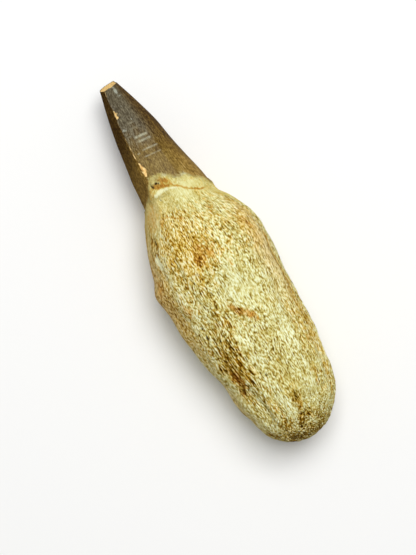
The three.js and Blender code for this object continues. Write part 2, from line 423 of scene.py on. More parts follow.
# The one at 54 mm and 14 degrees is painted light, on the flank that turns away from the key light.
PALE = [
    (19, 102, 8, 5, 0.6), (31, 118, 9, 5, 0.35), (36, 100, 5, 4, 0.2), (46, 103, 9, 6.5, 0.9),
    (54, 14, 5, 4, 0.4), (65, 28, 7, 3, 1), (66, 120, 4, 5, 0.5), (73, 46, 4, 4, 0.4),
    (74, 82, 4, 7, 0.55), (76, 112, 3, 5, 0.8), (25, 260, 9, 6, 0.6), (48, 200, 10, 6, 0.6),
    (61, 320, 6, 4, 0.5),
]
GOLD = [
    (13, 75, 5.5, 4, 0.4), (27, 50, 9, 4, 0.45), (30, 158, 22, 4, 0.75), (36, 152, 26, 4, 0.3),
    (38, 96, 3.5, 3, 0.5), (48, 20, 16, 6, 0.9), (50, 76, 6, 5, 0.3), (57.8, 141, 7.5, 3.4, 1),
    (60, 81, 6, 6.5, 0.9), (61, 78, 12, 12, 0.85), (63, 152, 8, 3, 0.8), (20, 300, 8, 5, 0.6),
    (45, 235, 8, 5, 0.6), (64, 260, 18, 30, 0.6),
]
RUST = [
    (12, 68, 3, 2.5, 0.45), (20.5, 36, 2, 1.2, 0.7), (21.5, 43, 1.6, 1, 0.7), (24, 44, 5, 3, 0.75),
    (24, 146, 4, 3, 0.55), (25.3, 48, 2.2, 1.6, 0.8), (31, 138, 3, 1.6, 0.5), (44, 152, 6, 2, 0.4),
    (47, 42, 6, 2.5, 0.6), (49, 12, 5, 3, 0.5), (52, 104, 3, 2, 0.45), (55.5, 23, 4.5, 2.4, 0.6),
    (58.5, 87, 5, 5.2, 0.75), (60, 12, 12, 5, 0.55), (60, 143, 4, 2, 0.6), (64, 28, 4, 2.5, 0.4),
    (68, 124, 4, 3, 0.5), (70, 25, 5, 4, 0.3), (70.5, 55, 2, 1.6, 0.5), (73, 40, 4, 3.5, 0.5),
    (77, 52, 2, 2.5, 0.45), (77.5, 140, 1.6, 2, 0.6), (58, 205, 4, 3, 0.5), (75, 250, 2, 5, 0.5),
]
WHITE = [
    (26.5, 84, 0.7, 0.6, 0.6), (53.2, 71, 0.8, 0.9, 0.6), (58, 158, 3.4, 0.9, 0.8),
    (61.8, 36, 2.2, 1, 1.5), (78.2, 138, 0.6, 1.6, 0.7), (79.4, 126, 0.6, 1.6, 0.8),
    (79.8, 118, 1, 3, 0.6), (80.6, 112, 0.5, 1.2, 0.7), (81.7, 101, 0.6, 2, 0.8),
]
# Dark holes, painted black as shade in them and sunk where they lie on the bone; the first is painted shade
# on the root's blunt end.
SHADED_HOLES = [
    (2.4, 50, 1.3, 2.4, 0.5), (22, 78, 0.7, 0.35, 0.8), (37.4, 45, 0.9, 0.38, 0.8),
    (40, 46, 0.8, 0.32, 0.8), (47.5, 72, 0.9, 0.3, 0.7), (66.8, 37, 0.75, 0.45, 1),
    (72.4, 84, 0.3, 0.3, 0.6), (76.2, 68, 0.6, 0.3, 0.6), (80.4, 76.5, 0.4, 0.36, 0.7),
    (80.5, 65, 1, 0.5, 0.65), (80.6, 70.7, 0.45, 0.6, 0.85),
]
# Where the bone is smooth and tan, and where it has deep furrows along it.
SIDE_BANDS = [(20, 5, 14, 5, 0.6), (50, 150, 15, 4.5, 0.8), (58, 10, 22, 8, 1), (73, 36, 5, 4.5, 0.7)]
FURROWED = [
    (10, 105, 12, 14, 0.9), (24, 62, 12, 6, 0.8), (36, 140, 24, 7, 1), (14, 330, 10, 8, 0.8),
    (30, 250, 24, 16, 0.8),
]
# Where a thin crust lies over the enamel, and where the enamel has pale specks.
CRUSTED = [(81, 122, 0.7, 2.5, 0.15), (82.2, 82, 0.6, 1.2, 0.7), (82.7, 70, 1, 1.8, 1)]
PALE_SPECKS = [
    (97.5, 66, 0.4, 0.7, 0.9), (99.4, 96, 0.5, 0.5, 0.5), (101, 74, 0.4, 0.5, 0.5),
    (104, 86, 0.5, 0.4, 0.5), (106.8, 104, 0.4, 0.8, 0.6), (108.5, 101, 0.95, 0.5, 1),
    (109.9, 76, 0.35, 0.4, 0.7), (110.1, 98, 0.35, 0.4, 0.8),
]
# Marks along a line: half width, strength, then its points as (distance along, angle round).
RUST_LINES = [
    (1.5, 0.85, [(42.6, 83), (40, 89), (36.8, 99)]),
    (0.45, 0.8, [(71.6, 63), (70.2, 74), (68.4, 87)]),
    (0.6, 0.6, [(76.6, 40), (77.6, 52), (78.9, 62)]),
    (0.5, 0.85, [(79.1, 92), (77.8, 98), (76, 109), (74.7, 120), (73, 141)]),
    (0.32, 0.6, [(79.9, 93), (78.4, 106), (77, 120)]),
    (0.95, 1, [(79.9, 64.5), (79.6, 77), (79, 90)]),
    (1, 0.6, [(80, 56), (77.7, 48), (75.5, 44)]),
    (0.75, 1.1, [(80.9, 84), (80.2, 91)]),
    (0.4, 1, [(81.2, 76), (80.9, 84)]),
    (0.6, 0.6, [(74, 180), (72.5, 215), (74, 250), (76, 290), (74, 330), (75, 372)]),
]
WHITE_LINES = [
    (0.62, 0.95, [(77.7, 65), (77.8, 68.5)]),
    (0.72, 0.95, [(78, 70), (78.1, 74)]),
    (0.55, 0.9, [(78.1, 75), (77.9, 85)]),
    (0.38, 0.8, [(77.9, 85), (77.5, 93), (77.1, 101)]),
]
# Cracks, cut into the bone and painted black as shade in them; the last runs under the white crust as its
# painted shadow.
CRACKS = [
    (0.35, 0.45, [(10.9, 104), (10.3, 112), (10.8, 122)]),
    (0.35, 0.45, [(19.3, 50), (13, 53), (7.9, 53)]),
    (0.3, 0.45, [(76.4, 62), (76.8, 72), (76.3, 80), (75.5, 87)]),
]
BARE_DENTINE = [
    (0.52, 1, [(85.2, 65.2), (83.9, 65.7)]),
    (0.8, 1, [(86.3, 64.5), (85.2, 65.2)]),
    (0.36, 1, [(87.6, 63.2), (86.8, 64)]),
    (0.18, 0.75, [(93.4, 62.4), (91.5, 62.8), (88.4, 62.8)]),
    (0.12, 0.65, [(100.8, 60.6), (93.4, 62.2)]),
    (0.75, 0.95, [(102.7, 60.8), (101.7, 62)]),
    (0.4, 0.9, [(103.8, 59), (102.7, 60)]),
    (0.14, 0.6, [(108, 58.4), (104.8, 59.4)]),
    (0.18, 0.7, [(110.9, 57.4), (108, 58.4)]),
    (0.35, 0.9, [(112, 52), (110.9, 57.4)]),
    (0.7, 0.8, [(89, 243), (87, 243.6)]),
    (0.8, 0.9, [(99.9, 240), (98.1, 240)]),
]


# ---- Fine relief ----
# Layers of noise: height in millimetres, waves to a millimetre along and across, seed.
RIDGES_AND_CRUMBS = [(0.11, 0.32, 1.1, 14), (0.09, 0.9, 1.4, 13)]
ENAMEL_LINES = [(0.035, 0.07, 0.9, 51), (0.02, 0.3, 0.6, 52)]
BREAK_GRAIN = [(0.10, 1.3, 1.3, 61), (0.05, 3.1, 3.1, 62)]
# Long furrows, as shares of FURROW_DEPTH instead of millimetres.
FURROW_LAYERS = [(0.65, 0.045, 0.36, 11), (0.35, 0.10, 0.8, 12)]
FURROW_DEPTH = 0.27
FURROWS_EVERYWHERE, FURROWS_WHERE_MARKED = 0.55, 0.6  # their strength, and what a furrowed place adds

# Pits: waves to a millimetre along and across, seed, radius and chance in a cell of the lattice.
PORES = (0.34, 1.3, 21, 0.42, 0.6)
HOLES = (0.20, 0.36, 41, 0.16, 0.3)
PORE_DEPTH, HOLE_DEPTH = 0.16, 0.3

EVENING = 0.7  # the share of its roughness that bone loses where it is smooth
COLLAR_EVENNESS = 0.6  # how smooth the bone is by the collar
COLLAR_BLEND = (-7, -1)  # from the collar, the stretch over which it gets so
PORES_HIDDEN = 0.5  # the share of its pores' colour that smooth bone loses
BEVEL, BEVEL_WIDTH = 0.32, 1.6  # by which the bone's edge is worn down where it meets the enamel
CRACK_DEPTH, DARK_HOLE_DEPTH, CRUST_HEIGHT = 0.5, 0.6, 0.4


def bone_relief(grain, furrows, evenness):
    """Height in millimetres, and how far each point is in a pore.

    The height is furrows, short ridges and crumbs of stretched noise, less two sizes of pits.
    """
    pores, holes = pits(grain, *PORES), pits(grain, *HOLES)
    rough = layered(grain, RIDGES_AND_CRUMBS) - PORE_DEPTH * pores - HOLE_DEPTH * holes
    return FURROW_DEPTH * furrows + rough * (1 - EVENING * evenness), np.maximum(pores**2, holes)


# ---- The tooth's mesh ----
def closed_surface(name, rows, attributes):
    """A mesh of a grid that closes round its columns, with one point at each end.

    rows is rings by columns by 3, in metres. The first and last rings are drawn together to their first
    point. attributes holds arrays of one number or vector for each point of the grid. The mesh has a UV
    map with one turn of the tooth across and its length up.
    """
    rings, columns = rows.shape[:2]

    def without_ends(values):
        inner = values[1:-1].reshape((rings - 2) * columns, -1)
        return np.concatenate([values[0, :1].reshape(1, -1), inner, values[-1, :1].reshape(1, -1)])

    first = 1 + np.arange(rings - 3)[:, None] * columns
    column = np.arange(columns)[None, :]
    following = (column + 1) % columns
    quads = np.stack(np.broadcast_arrays(first + column, first + following,
                                         first + columns + following, first + columns + column), axis=-1)
    column, following = column[0], following[0]
    last = 1 + (rings - 2) * columns
    start = np.stack([np.zeros(columns, int), 1 + following, 1 + column], axis=-1)
    end = np.stack([np.full(columns, last), last - columns + column, last - columns + following], axis=-1)

    corners = np.concatenate([quads.reshape(-1), start.reshape(-1), end.reshape(-1)])
    sizes = np.concatenate([np.full(quads.size // 4, 4), np.full(2 * columns, 3)])
    mesh = bpy.data.meshes.new(name)
    mesh.vertices.add(last + 1)
    mesh.vertices.foreach_set("co", without_ends(rows).astype(np.float32).ravel())
    mesh.loops.add(len(corners))
    mesh.loops.foreach_set("vertex_index", corners.astype(np.int32))
    mesh.polygons.add(len(sizes))
    mesh.polygons.foreach_set("loop_start", np.concatenate([[0], np.cumsum(sizes)[:-1]]).astype(np.int32))
    mesh.polygons.foreach_set("use_smooth", np.ones(len(sizes), bool))
    mesh.update(calc_edges=True)

    for label, values in attributes.items():
        vector = values.ndim == 3
        layer = mesh.attributes.new(label, "FLOAT_VECTOR" if vector else "FLOAT", "POINT")
        flat = without_ends(values).astype(np.float32).ravel()
        layer.data.foreach_set("vector" if vector else "value", flat)

    along = np.concatenate([[0], np.cumsum(np.linalg.norm(np.diff(rows, axis=0), axis=-1).mean(axis=1))])
    v = along / along[-1]
    low, high = v[1:-2, None], v[2:-1, None]
    left, right = np.arange(columns) / columns, (np.arange(columns) + 1) / columns
    quad_map = np.stack(np.broadcast_arrays(left, low, right, low, right, high, left, high), axis=-1)
    middle = (left + right) / 2
    start_map = np.stack(np.broadcast_arrays(middle, v[0], right, v[1], left, v[1]), axis=-1)
    end_map = np.stack(np.broadcast_arrays(middle, v[-1], left, v[-2], right, v[-2]), axis=-1)
    flat = np.concatenate([quad_map.ravel(), start_map.ravel(), end_map.ravel()])
    mesh.uv_layers.new(name="OFBake").data.foreach_set("uv", flat.astype(np.float32))
    if mesh.validate():
        raise ValueError(f"{name} has bad faces")
    return mesh


# Two faces of the crown, the dark one before the front cutting edge and the back one: the angle in degrees
# that the dark one faces and at which the back one starts, then the half width and the blends in radians.
# The dark face is darker partly in the enamel's own colour and partly by painted shade, as it faces away from
# the key light.
DARK_FACE_ANGLE, DARK_FACE_HALF_WIDTH = 15, math.radians(75)
BACK_FACE_ANGLE, BACK_FACE_BLEND = 118, (-0.3, 0.6)
EDGE_BLEND = 0.03  # half the turn over which one face gives way to the other
# Where the enamel rim of the break shows: the angle it faces, its half width in radians, and its blend,
# as shares of the break's radius.
BREAK_RIM_ANGLE, BREAK_RIM_HALF_WIDTH = 112, 1.15
BREAK_RIM_BLEND = (0.25, 0.5)
# How far a chip's dentine shows: the mean, and the noise about it.
CHIP_WEAR, CHIP_WEAR_NOISE = 0.75, [(0.25, 1.3, 1.3, 81)]
CHIPS_START = (-1, 1)  # from the collar, the stretch over which chips come in


class Tooth:
    """The tooth's grid, and what its relief and its marks are worked out from, all as whole arrays."""

    def __init__(self):
        self.points, self.angle, parts = tooth_grid()
        self.parts = np.array(parts)
        self.x = self.points[..., 0]
        self.radius = np.hypot(self.points[..., 1], self.points[..., 2] - axis_height(self.x))
        self.grain = grain_coordinates(self.points)
        self.past_collar = self.x - collar_at(self.angle)
        self.place = (self.x, self.angle, self.radius)
        ragged = strayed(self.x, self.angle, np.maximum(self.radius, 1), self.points)
        self.ragged_place = (*ragged, self.radius)

        near_collar = smoothstep(self.past_collar, *COLLAR_BLEND)
        self.side_band = spots(SIDE_BANDS, *self.ragged_place)
        self.streaked = spots(FURROWED, *self.ragged_place)
        furrows = layered(self.grain, FURROW_LAYERS) * (1 - near_collar)
        self.furrows = furrows * (FURROWS_EVERYWHERE + FURROWS_WHERE_MARKED * self.streaked)
        self.evenness = np.clip(self.side_band + COLLAR_EVENNESS * near_collar, 0, 1)
        self.cracks = lines(CRACKS, *self.ragged_place)
        self.dark_holes = spots(SHADED_HOLES, *self.ragged_place)
        self.crust = lines(WHITE_LINES, *self.place)

    def is_part(self, part):
        """Which rings belong to a part, as a column that spreads over the grid."""
        return (self.parts == part)[:, None]

    def relief(self):
        """Height over the grid in millimetres, and how far each point is in one of the bone's pores."""
        height, pores = bone_relief(self.grain, self.furrows, self.evenness)
        height = height - BEVEL * smoothstep(self.past_collar, -BEVEL_WIDTH, 0)
        height = height - CRACK_DEPTH * self.cracks - DARK_HOLE_DEPTH * self.dark_holes
        height = height + CRUST_HEIGHT * self.crust
        enamel, broken = layered(self.grain, ENAMEL_LINES), layered(self.points, BREAK_GRAIN)
        elsewhere = np.where(self.is_part("break"), broken, enamel)
        return np.where(self.is_part("root"), height, elsewhere), pores

    def bare_dentine(self):
        """Where dentine shows: along the chipped cutting edges, and over the break but for its enamel rim."""
        rim = np.argmax(self.parts == "break") - 1
        from_middle = self.radius / self.radius[rim]
        facing_rim = np.exp(-(turn_from(BREAK_RIM_ANGLE, self.angle) / BREAK_RIM_HALF_WIDTH) ** 4)
        broken = 1 - smoothstep(from_middle, *BREAK_RIM_BLEND) * facing_rim
        worn = CHIP_WEAR + layered(self.points, CHIP_WEAR_NOISE)
        chipped = worn * lines(BARE_DENTINE, *self.place) * smoothstep(self.past_collar, *CHIPS_START)
        return np.where(self.is_part("break"), broken, chipped)

    def crown_faces(self):
        """Which points are on the crown's dark face and on its back one, from 0 to 1."""
        past_edge = turn_from(edge_angle(CUTTING_EDGES[0], self.x), self.angle)
        on_side = np.abs(turn_from(DARK_FACE_ANGLE, self.angle)) < DARK_FACE_HALF_WIDTH
        dark = np.where(on_side, 1 - smoothstep(past_edge, -EDGE_BLEND, EDGE_BLEND), 0)
        back = smoothstep(turn_from(BACK_FACE_ANGLE, self.angle), *BACK_FACE_BLEND)
        return dark, np.broadcast_to(back, self.x.shape)

    def marks(self, pores):
        """The attributes that the material reads: places in the grain, and how marked each point is."""
        bone = self.is_part("root")
        dark_face, back_face = self.crown_faces()
        return {
            "grain": self.grain,
            "past_collar": self.past_collar,
            "pores": pores * bone * (1 - PORES_HIDDEN * self.side_band),
            # The furrows' depth, which the material uses for painted shade and for stains in them.
            "furrow": -self.furrows * bone,
            "side_band": self.side_band,
            "streaked": self.streaked,
            "brown": spots(BROWN, *self.ragged_place),
            "pale": spots(PALE, *self.ragged_place),
            "gold": spots(GOLD, *self.ragged_place),
            "rust": np.maximum(spots(RUST, *self.ragged_place), lines(RUST_LINES, *self.ragged_place)),
            "white": np.maximum(spots(WHITE, *self.ragged_place), self.crust),
            # Painted shade in the holes and cracks.
            "black": np.maximum(self.dark_holes, self.cracks),
            "chipped": self.bare_dentine(),
            "crusted": spots(CRUSTED, *self.ragged_place),
            "nicked": spots(PALE_SPECKS, *self.place),
            "dark_face": dark_face,
            "back_face": back_face,
        }


def tooth_mesh(centre):
    """The tooth's mesh: its grid, moved along its normals by the relief and set over the CAD box's centre.

    centre is in metres. The relief doesn't reach below the floor.
    """
    tooth = Tooth()
    height, pores = tooth.relief()
    rows = tooth.points + grid_normals(tooth.points) * height[..., None]
    rows[..., 2] = np.maximum(rows[..., 2], 0)
    middle = (tooth.points.min(axis=(0, 1)) + tooth.points.max(axis=(0, 1))) / 2
    rows[..., :2] += np.array(centre)[:2] / METRES - middle[:2]
    return closed_surface("tooth", rows * METRES, tooth.marks(pores))


# ---- Materials ----
class Amount:
    """An output socket. Arithmetic on one that carries a number adds the Math nodes."""

    def __init__(self, shader, socket):
        self.shader, self.socket = shader, socket

    def __add__(self, other):
        return self.shader.maths("ADD", self, other)

    def __sub__(self, other):
        return self.shader.maths("SUBTRACT", self, other)

    def __rsub__(self, other):
        return self.shader.maths("SUBTRACT", other, self)

    def __mul__(self, other):
        return self.shader.maths("MULTIPLY", self, other)

    __radd__, __rmul__ = __add__, __mul__


def weighed(amounts, weights):
    """The sum of the named amounts, each times its weight."""
    return sum(amounts[name] * weight for name, weight in weights.items())


def paint(red, green, blue):
    """A colour given as it looks, 0 to 255, turned to linear light by the sRGB curve."""
    def linear(c):
        c = c / 255
        return c / 12.92 if c <= 0.04045 else ((c + 0.055) / 1.055) ** 2.4
    return (linear(red), linear(green), linear(blue), 1.0)


class Shader:
    """A material's nodes, each added by node()."""

    def __init__(self, name):
        self.material = bpy.data.materials.new(name)
        self.material.use_nodes = True
        self.tree = self.material.node_tree
        self.tree.nodes.clear()

    def node(self, kind, outputs, settings=None, **sockets):
        """Adds a node, its settings first, then its sockets by identifier, with _ for a space.

        A ramp's stops are a setting too, a list of (position, colour). Returns the output with the
        identifier that outputs names, or a list of them where it names several.
        """
        node = self.tree.nodes.new("ShaderNode" + kind)
        for label, value in (settings or {}).items():
            if label == "stops":
                self.set_stops(node.color_ramp.elements, value)
            else:
                setattr(node, label, value)
        for label, value in sockets.items():
            socket = next(s for s in node.inputs if label == s.identifier.replace(" ", "_"))
            if isinstance(value, Amount):
                self.tree.links.new(value.socket, socket)
            else:
                socket.default_value = value
        found = [Amount(self, s) for label in outputs.split() for s in node.outputs if s.identifier == label]
        return found[0] if len(found) == 1 else found

    @staticmethod
    def set_stops(elements, stops):
        """Gives a ramp its stops, of which a new ramp has two."""
        for _ in stops[2:]:
            elements.new(1.0)
        for element, (position, colour) in zip(elements, stops):
            element.position, element.color = position, paint(*colour)

    def maths(self, operation, a, b=0.0):
        return self.node("Math", "Value", {"operation": operation}, Value=a, Value_001=b)

    def higher(self, a, b):
        return self.maths("MAXIMUM", a, b)

    def ramp(self, value, low, high):
        """0 at low and 1 at high, with a smooth step between them. low may be the greater of the two."""
        settings = {"interpolation_type": "SMOOTHSTEP"}
        return self.node("MapRange", "Result", settings, Value=value, From_Min=low, From_Max=high)

    def stretch(self, vector, scales):
        return self.node("VectorMath", "Vector", {"operation": "MULTIPLY"}, Vector=vector, Vector_001=scales)

    def noise(self, vector, along, across, detail, roughness=0.5, strength=1.0):
        """Noise about 0, mostly from -1 to 1 times its strength.

        along and across are its waves to a unit of the vector, across both ways.
        """
        place = self.stretch(vector, (along, across, across))
        fac = self.node("TexNoise", "Fac", Vector=place, Scale=1.0, Detail=detail, Roughness=roughness)
        return (fac * 4 - 2) * strength

    def blend(self, start, end, share):
        """A colour: start where share is 0 and end where it is 1."""
        settings = {"data_type": "RGBA"}
        return self.node("Mix", "Result_Color", settings, Factor_Float=share, A_Color=start, B_Color=end)

    def colour_by(self, level, stops):
        """A colour by brightness: a ramp of (brightness, colour) stops."""
        return self.node("ValToRGB", "Color", {"stops": stops}, Fac=level)

    def tint_by(self, level, dark, light, low, high):
        """A colour by brightness: dark up to low, light from high on, with a smooth step between them."""
        return self.blend(paint(*dark), paint(*light), self.ramp(level, low, high))

    def attribute(self, label, output="Fac"):
        return self.node("Attribute", output, {"attribute_name": label})


# The tables below weigh one thing against another. A brightness is about as it looks, from 0, black, to 1,
# white, and colours are as they look too, 0 to 255. Noise is given as waves to a millimetre along the grain
# and across it, detail, roughness, and its strength where that isn't 1.

# The bone's grain, and how it sways: the waves of the noise that moves it, and how far, in millimetres.
SWAY_STRETCH, SWAY_REACH = (0.15, 0.3, 0.3), (2, 1.2, 1.2)
LONG_FIBRES = (0.08, 1.1, 1.0, 0.75, 0.8)
DASHES = (0.34, 2.3, 1.0, 0.5, 0.85)
FLECKS = (1.1, 3.2, 1.0, 0.5, 0.85)
PITS = (0.42, 1.8, 0.0)
PITS_FROM, PITS_FULL = 0.3, 0.95

# The bone's mottling, from the broadest.
PATCHES = (0.07, 0.13, 2.0, 0.6)
CLOUDS = (0.11, 0.17, 3.0, 0.6)
MOTTLE = (0.36, 0.8, 3.0, 0.7)
CRUMBLE = (0.9, 1.3, 3.0, 0.8)

# How noise breaks up the marks' edges, and for each stain how much of it that is, how far furrows take the
# stain, partly as painted shade in them, and the ramp over which it comes in.
RAGGED = {"mottle": 0.22, "crumble": 0.2, "flecks": 0.06, "long_fibres": 0.10}
STAINS = {"pale": (1.0, 0.0, 0.1, 0.9), "gold": (1.6, 0.5, 0.1, 0.9), "brown": (1.0, 0.3, 0.2, 0.95)}
# Rust is also in clouds of its own.
RUST_CLOUDS = {"clouds": 0.55, "furrow": 0.2}
RUST_FROM, RUST_FULL = 0.3, 1.0
# The root's blunt end is darker: millimetres along, which mottling shifts.
LOW_END_FROM, LOW_END_FULL, LOW_END_SHIFT = 7.0, 0.5, 2

# The bone's brightness: its mean, then what each mark and kind of mottling adds. The darkening in furrows is
# painted shade.
BONE_BRIGHTNESS = 0.72
BONE_LIGHTENING = {
    "pale": 0.05, "brown": -0.15, "side_band": -0.03, "rust": -0.20, "furrow": -0.14, "low_end": -0.14,
    "clouds": 0.03, "mottle": 0.02, "crumble": 0.015,
}
# How strongly each size of grain shows: anywhere, then what brown and furrowed places add.
# The grain's light and dark follow its bump: partly the bone's own grain, partly painted highlight and shade.
GRAIN_LIGHTENING = {
    "long_fibres": (0.03, 0.09, 0.08), "dashes": (0.09, 0.17, 0.05), "flecks": (0.43, -0.08, -0.09),
}
# Pores and pits are darker, partly the bone's own colour and partly painted shade in them.
PORE_LIGHTENING = -0.03
PIT_DARKENING, PIT_DARKENING_IN_BROWN = 0.05, 0.30
GRAIN_CONTRAST = {"brown": 0.4, "pale": -0.4, "low_end": 0.3, "patches": 0.12}

# How golden the bone is, 0 for pale and 1 for golden.
BONE_GOLDENNESS = 0.05
BONE_GILDING = {
    "gold": 1.0, "clouds": 0.1, "mottle": 0.3, "crumble": 0.3, "brown": 0.5, "side_band": 0.3,
    "flecks": -0.15, "pale": -0.35,
}

# The bone's colours by brightness, from its gaps to its ridges: where it is pale, and where it is golden.
PALE_STOPS = [
    (0.16, (36, 20, 2)), (0.34, (88, 62, 14)), (0.46, (128, 102, 32)), (0.57, (160, 139, 60)),
    (0.67, (190, 176, 98)), (0.76, (212, 206, 144)), (0.86, (225, 226, 174)), (0.98, (235, 240, 206)),
]
GOLDEN_STOPS = [
    (0.16, (42, 20, 0)), (0.34, (92, 57, 4)), (0.46, (133, 92, 12)), (0.57, (167, 127, 34)),
    (0.67, (195, 162, 65)), (0.76, (214, 188, 100)), (0.86, (227, 212, 146)), (0.98, (237, 232, 188)),
]
# Colours laid over those: dark, light, and the brightness at either end. Then how far each covers.
TAN = ((112, 78, 34), (220, 190, 132), 0.4, 0.9)
ORANGE = ((108, 58, 10), (218, 160, 74), 0.2, 0.85)
TAN_COVER, ORANGE_COVER, ORANGE_COVER_IN_CRUMBLE = 0.75, 0.66, 0.3
CRUST_COLOUR, CRUST_FROM, CRUST_FULL, CRUST_COVER = (230, 234, 194), 0.35, 0.85, 0.68


def bone_texture(s, grain):
    """The bone's grain by name: fibres, dashes and flecks, each about 0, and pits from 0 to 1."""
    sway = s.node("TexNoise", "Color", Vector=s.stretch(grain, SWAY_STRETCH), Scale=1.0, Detail=1.0)
    shift = s.stretch(sway, SWAY_REACH)
    place = s.node("VectorMath", "Vector", {"operation": "ADD"}, Vector=grain, Vector_001=shift)
    return {
        "long_fibres": s.noise(place, *LONG_FIBRES),
        "dashes": s.noise(place, *DASHES),
        "flecks": s.noise(place, *FLECKS),
        "pits": s.ramp(s.noise(place, *PITS), PITS_FROM, PITS_FULL),
    }


def bone_amounts(s, grain, texture):
    """Everything that the bone's colour is worked out from, by name: its texture, mottling and marks."""
    amounts = dict(texture)
    amounts["patches"] = s.noise(grain, *PATCHES)
    amounts["clouds"] = s.noise(grain, *CLOUDS)
    amounts["mottle"] = s.noise(grain, *MOTTLE)
    amounts["crumble"] = s.noise(grain, *CRUMBLE)
    for label in ("furrow", "side_band", "streaked", "pores"):
        amounts[label] = s.attribute(label)
    ragged = amounts["ragged"] = weighed(amounts, RAGGED)
    for label, (raggedness, furrow_share, low, high) in STAINS.items():
        stain = s.attribute(label) + ragged * raggedness + amounts["furrow"] * furrow_share
        amounts[label] = s.ramp(stain, low, high)
    rust = s.higher(s.attribute("rust"), weighed(amounts, RUST_CLOUDS))
    amounts["rust"] = s.ramp(rust + ragged, RUST_FROM, RUST_FULL)
    along = s.node("SeparateXYZ", "X", Vector=grain)
    amounts["low_end"] = s.ramp(along + amounts["mottle"] * LOW_END_SHIFT, LOW_END_FROM, LOW_END_FULL)
    return amounts


def bone_colour(s, grain, texture):
    """Bone that is cream on its ridges and brown in its gaps, partly by painted highlight and shade, golden
    and pale in places, with the marks.
    """
    amounts = bone_amounts(s, grain, texture)
    brown = amounts["brown"]
    grainy = amounts["pores"] * PORE_LIGHTENING
    for size, (anywhere, in_brown, in_furrows) in GRAIN_LIGHTENING.items():
        grainy = grainy + amounts[size] * (anywhere + brown * in_brown + amounts["streaked"] * in_furrows)
    level = BONE_BRIGHTNESS + weighed(amounts, BONE_LIGHTENING)
    level = level + grainy * (1 + weighed(amounts, GRAIN_CONTRAST))
    level = level - amounts["pits"] * (PIT_DARKENING + brown * PIT_DARKENING_IN_BROWN)

    golden = s.ramp(BONE_GOLDENNESS + weighed(amounts, BONE_GILDING), 0.0, 1.0)
    colour = s.blend(s.colour_by(level, PALE_STOPS), s.colour_by(level, GOLDEN_STOPS), golden)
    colour = s.blend(colour, s.tint_by(level, *TAN), amounts["side_band"] * TAN_COVER)
    rusty = amounts["rust"] * (ORANGE_COVER + amounts["crumble"] * ORANGE_COVER_IN_CRUMBLE)
    colour = s.blend(colour, s.tint_by(level, *ORANGE), rusty)
    crusty = s.ramp(s.attribute("white") + amounts["ragged"], CRUST_FROM, CRUST_FULL)
    return s.blend(colour, paint(*CRUST_COLOUR), crusty * CRUST_COVER)


# Scratches across the crown: distance along, distance towards +Y, half length, half width, strength.
SCRATCHES = [
    (94.2, -1.0, 2.1, 0.62, 1.0), (92.8, -1.3, 2.1, 0.55, 0.9), (90.2, -1.5, 2.6, 0.42, 0.75),
    (90.0, 2.0, 0.5, 0.40, 0.6), (88.3, -1.2, 3.0, 0.36, 0.45), (97.0, -0.6, 1.8, 0.45, 0.32),
    (98.6, -0.6, 1.2, 0.40, 0.22), (95.3, 2.0, 0.7, 0.50, 0.35),
]
SCRATCH_SLANT = 0.09  # millimetres along to one across
SCRATCH_CORE = 0.03  # half the width over which a scratch is at its full strength
SCRATCH_ENDS = 0.6  # the share of its half length over which it is at full strength
SCRATCH_GAPS = (1.5, 1.1, 2.0, 0.7)  # the noise that breaks it up
SCRATCH_GAP_BLEND = (-0.7, 0.7)
SCRATCH_LEAST = 0.3  # the strength that it keeps in its gaps
UPPER_SIDE = (14.0, 15.0)  # height over the floor at which scratches come in


def scratch_marks(s):
    """Soft light scratches on the crown's upper side, broken up by noise along them."""
    place = s.stretch(s.node("TexCoord", "Object"), (1 / METRES,) * 3)
    along, across, up = s.node("SeparateXYZ", "X Y Z", Vector=place)
    slanted = along + TOOTH_MIDDLE - across * SCRATCH_SLANT
    marks = 0.0
    for x, y, half_length, half_width, strength in SCRATCHES:
        away = s.maths("ABSOLUTE", slanted - (x - y * SCRATCH_SLANT))
        reach = s.maths("ABSOLUTE", across - y)
        line = s.ramp(away, half_width, SCRATCH_CORE) * s.ramp(reach, half_length, half_length * SCRATCH_ENDS)
        marks = s.higher(marks, line * strength)
    unbroken = s.ramp(s.noise(place, *SCRATCH_GAPS), *SCRATCH_GAP_BLEND)
    return marks * (SCRATCH_LEAST + unbroken * (1 - SCRATCH_LEAST)) * s.ramp(up, *UPPER_SIDE)


# The enamel's noises.
STREAKS = (0.07, 1.3, 1.0, 0.7, 0.7)
FINE_LINES = (0.4, 2.2, 0.0, 0.5, 0.6)
ENAMEL_CLOUDS = (0.16, 0.3, 4.0, 0.65)
SCUFFS = (1.2, 1.8, 1.0, 0.8, 0.75)
# Stretches of the crown, as ramps over the distance past the collar in millimetres. Clouds shift two of them.
TOWARDS_TIP, LOW_CROWN, AT_COLLAR = (6, 22), (12, 3), (2, 0)
CLOUD_SHIFT = 2.5

# The enamel's brightness: its mean, what each thing adds, and what each adds on the back face alone.
ENAMEL_BRIGHTNESS = 0.35
ENAMEL_LIGHTENING = {
    "towards_tip": -0.11, "low": 0.05, "at_collar": 0.06, "dark_face": -0.045, "back_face": 0.01,
    "streaks": 0.03, "fine_lines": 0.045, "scuffs": 0.19, "clouds": 0.05,
}
BACK_FACE_LIGHTENING = {"towards_tip": -0.03, "streaks": 0.03, "fine_lines": 0.025}
ENAMEL_STOPS = [
    (0.10, (34, 18, 2)), (0.22, (66, 46, 14)), (0.34, (102, 80, 34)), (0.44, (128, 106, 52)),
    (0.54, (150, 131, 76)), (0.66, (178, 166, 118)), (0.80, (210, 204, 170)),
]
